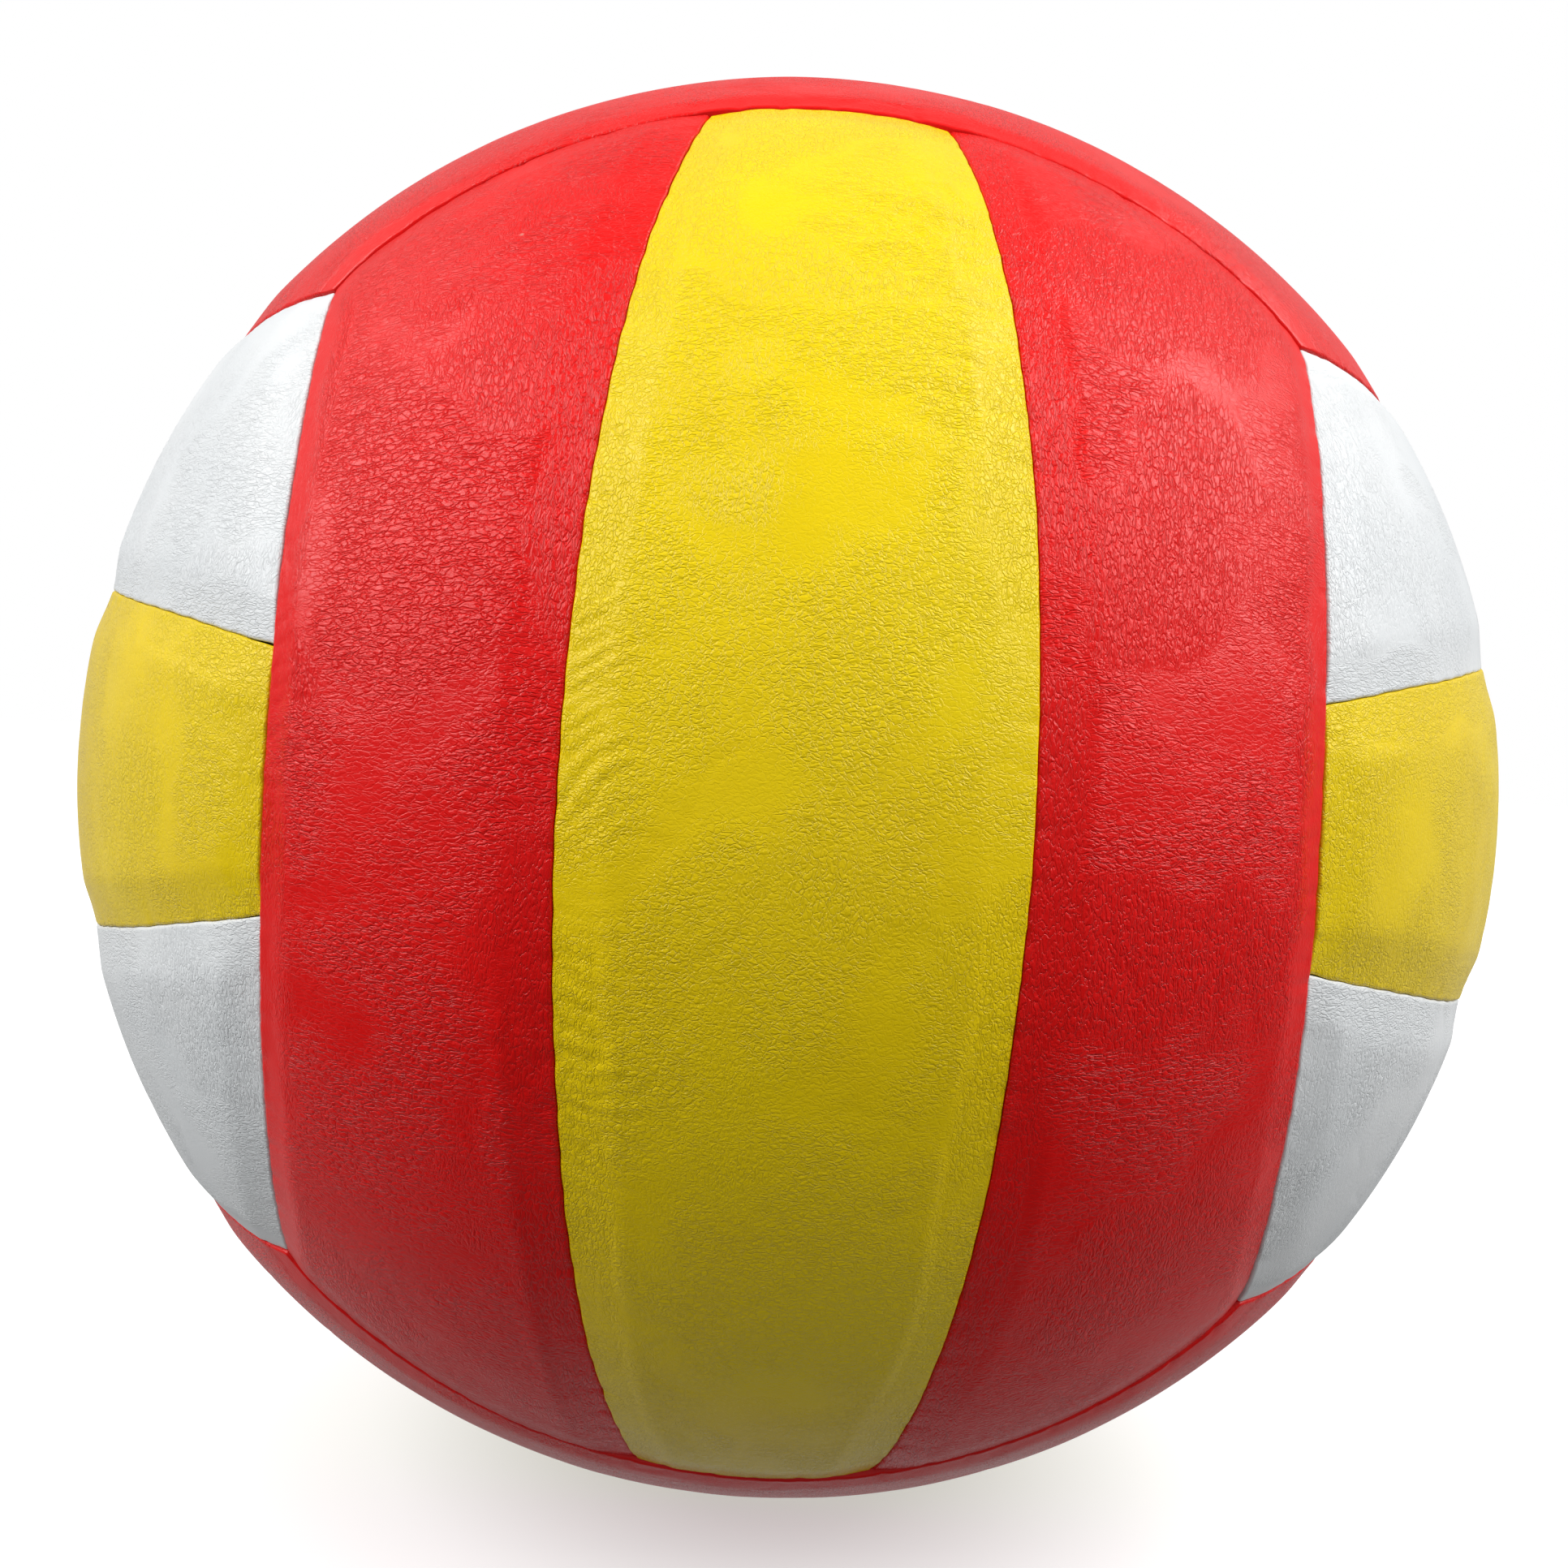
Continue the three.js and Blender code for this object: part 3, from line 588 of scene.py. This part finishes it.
def leather(name, base, deep, pale, rough, specular, grain_mm, pitch, length, speck_colour):
    """Soft synthetic leather: short creases that run across the strip, turned along the seams in places, over a fine pebble."""
    m, nt, bsdf = nodes_of(name)
    link = nt.links.new
    co = add(nt, "ShaderNodeAttribute", attribute_name="grain").outputs["Vector"]
    amp = add(nt, "ShaderNodeAttribute", attribute_name="grain_amp").outputs["Fac"]
    turn = add(nt, "ShaderNodeAttribute", attribute_name="grain_turn").outputs["Fac"]
    near = add(nt, "ShaderNodeAttribute", attribute_name="seam_near").outputs["Fac"]
    tex = add(nt, "ShaderNodeTexCoord").outputs["Object"]

    def crease(scale, seed):
        """Height of creased grain in coordinates stretched by scale: cells with soft tops."""
        mp = add(nt, "ShaderNodeMapping", {"Scale": (*scale, 1), "Location": (seed, seed * 1.7, 0)})
        link(co, mp.inputs["Vector"])
        warp = add(nt, "ShaderNodeTexNoise", {"Scale": 0.55, "Detail": 2.0, "Roughness": 0.55}, noise_dimensions="2D")
        link(mp.outputs[0], warp.inputs["Vector"])
        off = add(nt, "ShaderNodeVectorMath", operation="SUBTRACT")
        link(warp.outputs["Color"], off.inputs[0])
        off.inputs[1].default_value = (0.5, 0.5, 0.5)
        much = add(nt, "ShaderNodeVectorMath", operation="SCALE")
        much.inputs["Scale"].default_value = 2.4
        link(off.outputs[0], much.inputs[0])
        moved = add(nt, "ShaderNodeVectorMath", operation="ADD")
        link(mp.outputs[0], moved.inputs[0])
        link(much.outputs[0], moved.inputs[1])
        v = add(nt, "ShaderNodeTexVoronoi", {"Scale": 1.0, "Randomness": 1.0}, voronoi_dimensions="2D", feature="DISTANCE_TO_EDGE")
        link(moved.outputs[0], v.inputs["Vector"])
        cells = ramp(nt, v.outputs["Distance"], ((0.0, 0.0), (0.10, 0.55), (0.28, 0.9), (0.6, 1.0)))
        f = add(nt, "ShaderNodeTexNoise", {"Scale": 1.15, "Detail": 3.0, "Roughness": 0.6}, noise_dimensions="2D")
        link(moved.outputs[0], f.inputs["Vector"])
        return math_node(nt, "ADD", math_node(nt, "MULTIPLY", cells, 0.55), math_node(nt, "MULTIPLY", f.outputs["Fac"], 0.9))

    across = crease((1.17 * pitch / length, 1.17 * pitch * length), 3.1)
    along = crease((1.19 * pitch * length**1.3, 1.19 * pitch / length**1.3), 11.7)
    h = add(nt, "ShaderNodeMix", data_type="FLOAT")
    link(turn, h.inputs[0])
    link(across, h.inputs[2])
    link(along, h.inputs[3])
    height = math_node(nt, "MULTIPLY", h.outputs[0], amp)
    fine = add(nt, "ShaderNodeTexNoise", {"Scale": 2600.0, "Detail": 2.0, "Roughness": 0.6})
    link(tex, fine.inputs["Vector"])
    height = math_node(nt, "ADD", height, math_node(nt, "MULTIPLY", fine.outputs["Fac"], 0.10))
    bump = add(nt, "ShaderNodeBump", {"Strength": 1.0, "Distance": grain_mm * 0.001})
    link(height, bump.inputs["Height"])
    link(bump.outputs[0], bsdf.inputs["Normal"])

    patch = add(nt, "ShaderNodeTexNoise", {"Scale": 26.0, "Detail": 4.0, "Roughness": 0.6})
    link(tex, patch.inputs["Vector"])
    tone = ramp(nt, patch.outputs["Fac"], ((0.30, 0.0), (0.70, 1.0)))
    col = mix_colour(nt, tone, (*deep, 1), (*base, 1))
    # painted shade: the grain's creases are painted darker, towards the deep colour
    creases = ramp(nt, h.outputs[0], ((0.35, 1.0), (0.75, 0.0)))
    col = mix_colour(nt, math_node(nt, "MULTIPLY", math_node(nt, "MULTIPLY", creases, amp), 0.35), col, (*deep, 1))
    # rolled edges are painted a little paler in patches, as rubbed wear and as a painted highlight along the roll
    rub_and_highlight = ramp(nt, math_node(nt, "MULTIPLY", near, 0.1), ((0.0, 0.0), (0.03, 0.0), (0.07, 1.0), (0.16, 0.0)))
    blot = add(nt, "ShaderNodeTexNoise", {"Scale": 160.0, "Detail": 3.0, "Roughness": 0.65})
    link(tex, blot.inputs["Vector"])
    col = mix_colour(nt, math_node(nt, "MULTIPLY", rub_and_highlight, ramp(nt, blot.outputs["Fac"], ((0.45, 0.0), (0.7, 0.12)))), col, (*pale, 1))
    # painted shade: the fold itself is painted dark, towards a darkened deep colour, where the seam's groove lies in
    # shade
    seam_shade = ramp(nt, math_node(nt, "MULTIPLY", near, 0.1), ((0.0, 0.35), (0.004, 0.1), (0.010, 0.0)))
    col = mix_colour(nt, seam_shade, col, (deep[0] * 0.4, deep[1] * 0.4, deep[2] * 0.4, 1))
    speck = add(nt, "ShaderNodeTexVoronoi", {"Scale": 120.0, "Randomness": 1.0}, feature="F1")
    link(tex, speck.inputs["Vector"])
    dot = ramp(nt, speck.outputs["Distance"], ((0.0, 1.0), (0.035, 1.0), (0.05, 0.0)))
    pick = add(nt, "ShaderNodeTexVoronoi", {"Scale": 120.0, "Randomness": 1.0}, feature="F1")
    link(tex, pick.inputs["Vector"])
    some = math_node(nt, "GREATER_THAN", pick.outputs["Color"], 0.86)
    col = mix_colour(nt, math_node(nt, "MULTIPLY", math_node(nt, "MULTIPLY", dot, some), 0.6), col, (*speck_colour, 1))
    link(col, bsdf.inputs["Base Color"])
    r = add(nt, "ShaderNodeMapRange", {"From Min": 0.25, "From Max": 0.75, "To Min": rough - 0.05, "To Max": rough + 0.07})
    link(patch.outputs["Fac"], r.inputs["Value"])
    rr = math_node(nt, "ADD", r.outputs[0], math_node(nt, "MULTIPLY", creases, 0.06))
    link(rr, bsdf.inputs["Roughness"])
    bsdf.inputs["Specular IOR Level"].default_value = specular
    return m


def rubber(name, base, rough=0.55):
    m, nt, bsdf = nodes_of(name)
    tex = add(nt, "ShaderNodeTexCoord").outputs["Object"]
    n = add(nt, "ShaderNodeTexNoise", {"Scale": 900.0, "Detail": 4.0, "Roughness": 0.6})
    nt.links.new(tex, n.inputs["Vector"])
    big = add(nt, "ShaderNodeTexNoise", {"Scale": 60.0, "Detail": 3.0, "Roughness": 0.6})
    nt.links.new(tex, big.inputs["Vector"])
    col = mix_colour(nt, ramp(nt, big.outputs["Fac"], ((0.3, 0.0), (0.7, 1.0))), (*base, 1), (*[c * 1.8 + 0.01 for c in base], 1))
    nt.links.new(col, bsdf.inputs["Base Color"])
    r = add(nt, "ShaderNodeMapRange", {"From Min": 0.3, "From Max": 0.7, "To Min": rough - 0.08, "To Max": rough + 0.1})
    nt.links.new(n.outputs["Fac"], r.inputs["Value"])
    nt.links.new(r.outputs[0], bsdf.inputs["Roughness"])
    b = add(nt, "ShaderNodeBump", {"Strength": 1.0, "Distance": 0.00003})
    nt.links.new(n.outputs["Fac"], b.inputs["Height"])
    nt.links.new(b.outputs[0], bsdf.inputs["Normal"])
    return m


def cloth(name, base, scale=1500.0):
    m, nt, bsdf = nodes_of(name)
    tex = add(nt, "ShaderNodeTexCoord").outputs["Object"]
    w1 = add(nt, "ShaderNodeTexWave", {"Scale": scale, "Distortion": 0.8, "Detail": 1.0}, bands_direction="X")
    w2 = add(nt, "ShaderNodeTexWave", {"Scale": scale, "Distortion": 0.8, "Detail": 1.0}, bands_direction="Z")
    nt.links.new(tex, w1.inputs["Vector"])
    nt.links.new(tex, w2.inputs["Vector"])
    h = math_node(nt, "MAXIMUM", w1.outputs["Fac"], w2.outputs["Fac"])
    # painted shade: the low parts of the weave are painted darker
    nt.links.new(mix_colour(nt, h, (*[c * 0.55 for c in base], 1), (*base, 1)), bsdf.inputs["Base Color"])
    b = add(nt, "ShaderNodeBump", {"Strength": 1.0, "Distance": 0.00008})
    nt.links.new(h, b.inputs["Height"])
    nt.links.new(b.outputs[0], bsdf.inputs["Normal"])
    bsdf.inputs["Roughness"].default_value = 0.8
    bsdf.inputs["Sheen Weight"].default_value = 0.2
    return m


MATS = {
    "red_leather": leather("red_leather", (0.87, 0.002, 0.001), (0.80, 0.001, 0.001), (0.88, 0.03, 0.02), 0.27, 0.31, 0.17, 1.0, 1.46, (0.85, 0.35, 0.28)),
    "yellow_leather": leather("yellow_leather", (0.95, 0.71, 0.0), (0.90, 0.64, 0.0), (0.96, 0.80, 0.02), 0.24, 0.27, 0.14, 1.35, 1.18, (0.10, 0.06, 0.03)),
    "white_leather": leather("white_leather", (0.87, 0.885, 0.89), (0.79, 0.82, 0.835), (0.90, 0.90, 0.90), 0.33, 0.26, 0.12, 1.15, 1.46, (0.25, 0.24, 0.23)),
    "thread": cloth("thread", (0.78, 0.75, 0.66), 2500.0),
    "bladder_rubber": rubber("bladder_rubber", (0.03, 0.03, 0.032)),
    "valve_rubber": rubber("valve_rubber", (0.02, 0.02, 0.022), 0.5),
    "core_rubber": rubber("core_rubber", (0.16, 0.06, 0.035), 0.6),
    "patch_cloth": cloth("patch_cloth", (0.60, 0.57, 0.50), 1100.0),
}


# ---------------------------------------------------------------- panels
for face, (_, _, _, names, colours) in FACES.items():
    for strip, (word, colour) in enumerate(zip(names, colours)):
        node = f"{face}_{word}_panel"
        ob = build_panel(face, strip, f"{face}_{word}_cover")
        ob.data.materials.append(MATS[KINDS[colour]])
        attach(ob, "root")
        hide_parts(node)


# ---------------------------------------------------------------- valve, turned about +Y
def turned(name, profile, sides=96):
    """A closed ring or solid from (radius, y) points in mm, run so that its outside lies on their left."""
    pts, faces, rows = [], [], []
    profile = [w for k, w in enumerate(profile) if math.dist(w, profile[k - 1]) > 1e-3]  # no point twice in a row
    for r, y in profile:
        if r < 1e-9:
            rows.append([len(pts)])
            pts.append((0, y, 0))
        else:
            rows.append(list(range(len(pts), len(pts) + sides)))
            pts += [(r * math.cos(2 * math.pi * k / sides), y, r * math.sin(2 * math.pi * k / sides)) for k in range(sides)]
    closed = len(rows[0]) > 1
    pairs = list(zip(rows, rows[1:])) + ([(rows[-1], rows[0])] if closed else [])
    for b, c in pairs:
        for k in range(sides):
            k2 = (k + 1) % sides
            if len(b) == 1:
                faces.append([b[0], c[k2], c[k]])
            elif len(c) == 1:
                faces.append([b[k], b[k2], c[0]])
            else:
                faces.append([b[k], b[k2], c[k2], c[k]])
    mesh = bpy.data.meshes.new(name)
    mesh.from_pydata([(x * 0.001, y * 0.001, z * 0.001) for x, y, z in pts], [], faces)
    mesh.update()
    import bmesh

    bm = bmesh.new()
    bm.from_mesh(mesh)
    bmesh.ops.recalc_face_normals(bm, faces=bm.faces)
    bm.to_mesh(mesh)
    bm.free()
    mesh.polygons.foreach_set("use_smooth", np.ones(len(mesh.polygons), bool))
    mesh.set_sharp_from_angle(angle=math.radians(40))
    ob = bpy.data.objects.new(name, mesh)
    bpy.context.scene.collection.objects.link(ob)
    return ob


def arc(cx, cy, r, a0, a1, n=6):
    return [(cx + r * math.cos(math.radians(a0 + (a1 - a0) * k / n)), cy + r * math.sin(math.radians(a0 + (a1 - a0) * k / n))) for k in range(n + 1)]


body = turned(
    "valve_housing",
    [(0.9, 103.75), (0.9, 99.4), (2.6, 99.4), (2.6, 88.2), *arc(2.8, 88.2, 0.2, 180, 270, 3), *arc(3.8, 88.2, 0.2, 270, 360, 3)]
    + [(4.0, 95.9), *arc(4.3, 95.9, 0.3, 180, 90, 4)[1:], (9.6, 96.2), *arc(9.6, 96.6, 0.4, 270, 360, 4), *arc(9.6, 96.7, 0.4, 0, 80, 4)]
    + [(4.3, 97.4), *arc(4.3, 97.7, 0.3, 270, 180, 3), (4.0, 99.9), (2.3, 100.3), (2.3, 103.9), *arc(1.95, 103.95, 0.35, 0, 90, 6)]
    + [*arc(1.25, 103.95, 0.35, 90, 170, 6)],
)
body.data.materials.append(MATS["valve_rubber"])
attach(body, "root")
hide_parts("valve_body")

for node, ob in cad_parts.items():
    if node.endswith("_thread"):
        mat = MATS["thread"]
    elif node in ("bladder", "valve_core", "valve_patch"):
        mat = MATS[{"bladder": "bladder_rubber", "valve_core": "core_rubber", "valve_patch": "patch_cloth"}[node]]
    else:
        continue
    for s in ob.material_slots:
        s.material = mat

# ---------------------------------------------------------------- floor, light and camera
def staged_only(ob):
    """The floor shows and takes shadows, but sends no light back: the studio's own light is set below."""
    ob.visible_diffuse = ob.visible_glossy = ob.visible_transmission = ob.visible_shadow = False


floor_mat, nt, bsdf = nodes_of("floor_paint")
bsdf.inputs["Base Color"].default_value = (0.42, 0.42, 0.42, 1)
bsdf.inputs["Roughness"].default_value = 1.0
bsdf.inputs["Specular IOR Level"].default_value = 0.0
bsdf.inputs["Emission Color"].default_value = (1, 1, 1, 1)
# painted shadow: the floor's even glow is painted darker under the ball, by how much of the sky the ball hides
far = add(nt, "ShaderNodeVectorMath", operation="LENGTH")
nt.links.new(add(nt, "ShaderNodeTexCoord").outputs["Object"], far.inputs[0])
spread = math_node(nt, "ADD", math_node(nt, "POWER", far.outputs["Value"], 2.0), 0.105**2)
painted_shadow = math_node(nt, "POWER", math_node(nt, "DIVIDE", 0.105**2, spread), 1.5)
nt.links.new(math_node(nt, "SUBTRACT", 1.0, math_node(nt, "MULTIPLY", painted_shadow, 0.55)), bsdf.inputs["Emission Strength"])
fm = bpy.data.meshes.new("floor")
ring = [(8 * math.cos(2 * math.pi * k / 96), 8 * math.sin(2 * math.pi * k / 96), 0) for k in range(96)]
fm.from_pydata(ring, [], [list(range(96))])
floor = bpy.data.objects.new("floor", fm)
floor.location.z = -0.105
floor.data.materials.append(floor_mat)
bpy.context.scene.collection.objects.link(floor)
staged_only(floor)

# The room is dim, a little brighter behind and below; the camera sees plain white round the object
world = bpy.data.worlds.new("studio")
bpy.context.scene.world = world
world.use_nodes = True
wn = world.node_tree
bg = next(n for n in wn.nodes if n.type == "BACKGROUND")
bg.inputs["Color"].default_value = (1, 1, 1, 1)
sep = add(wn, "ShaderNodeSeparateXYZ")
wn.links.new(add(wn, "ShaderNodeTexCoord").outputs["Generated"], sep.inputs[0])
back = add(wn, "ShaderNodeMapRange", {"From Min": -0.2, "From Max": 0.5}, interpolation_type="SMOOTHSTEP")
wn.links.new(sep.outputs["Y"], back.inputs["Value"])
low = add(wn, "ShaderNodeMapRange", {"From Min": 0.1, "From Max": -0.5}, interpolation_type="SMOOTHSTEP")
wn.links.new(sep.outputs["Z"], low.inputs["Value"])
parts = []
for front_level, back_level in ((0.36, 0.42), (0.13, 0.42)):  # above, below
    level = add(wn, "ShaderNodeMapRange", {"To Min": front_level, "To Max": back_level})
    wn.links.new(back.outputs[0], level.inputs["Value"])
    parts.append(level.outputs[0])
level = add(wn, "ShaderNodeMix", data_type="FLOAT")
wn.links.new(low.outputs[0], level.inputs[0])
wn.links.new(parts[0], level.inputs[2])
wn.links.new(parts[1], level.inputs[3])
wn.links.new(level.outputs[0], bg.inputs["Strength"])
white = add(wn, "ShaderNodeBackground", {"Color": (1, 1, 1, 1), "Strength": 1.0})
both = add(wn, "ShaderNodeMixShader")
wn.links.new(add(wn, "ShaderNodeLightPath").outputs["Is Camera Ray"], both.inputs[0])
wn.links.new(bg.outputs[0], both.inputs[1])
wn.links.new(white.outputs[0], both.inputs[2])
wn.links.new(both.outputs[0], next(n for n in wn.nodes if n.type == "OUTPUT_WORLD").inputs["Surface"])


def soft_box(name, azimuth, elevation, distance, width, height, radiance):
    """A soft box seen from the ball at an azimuth (degrees from -Y towards +X) and elevation."""
    a, e = math.radians(azimuth), math.radians(elevation)
    at = Vector((math.cos(e) * math.sin(a), -math.cos(e) * math.cos(a), math.sin(e))) * distance
    data = bpy.data.lights.new(name, "AREA")
    data.shape = "RECTANGLE"
    data.size, data.size_y = width, height
    data.energy = radiance * 4 * width * height
    ob = bpy.data.objects.new(name, data)
    ob.location = at
    ob.rotation_euler = (-at).to_track_quat("-Z", "Y").to_euler()
    bpy.context.scene.collection.objects.link(ob)
    return ob


soft_box("soft_right", 70, 42, 1.2, 0.95, 0.84, 4.5)
soft_box("soft_left", -68, 35, 1.2, 0.95, 0.80, 4.2)

# The camera, 0.276 m from the middle of the ball, a little above it and rolled by about three degrees
DIST = 2.6261
ROT = (-0.02943, -0.0566, -0.0085)
turn_v = Vector(ROT)
M = Matrix.Rotation(turn_v.length, 3, turn_v.normalized())
eye = M @ Vector((0, -DIST * 0.105, 0))
right, ahead, up = M @ Vector((1, 0, 0)), M @ Vector((0, 1, 0)), M @ Vector((0, 0, 1))
cam_data = bpy.data.cameras.new("camera")
cam_data.sensor_width = 36
cam_data.lens = 876.5 * math.sqrt(DIST**2 - 1) / 1932 * 36
cam_data.shift_x, cam_data.shift_y = -5 / 1932, 4.5 / 1932
cam_data.clip_start = 0.01
cam = bpy.data.objects.new("camera", cam_data)
cam.matrix_world = Matrix(((right.x, up.x, -ahead.x, eye.x), (right.y, up.y, -ahead.y, eye.y), (right.z, up.z, -ahead.z, eye.z), (0, 0, 0, 1)))
bpy.context.scene.collection.objects.link(cam)
bpy.context.scene.camera = cam
bpy.context.scene.view_settings.view_transform = "Standard"
bpy.context.scene.view_settings.look = "None"

bpy.context.view_layer.update()
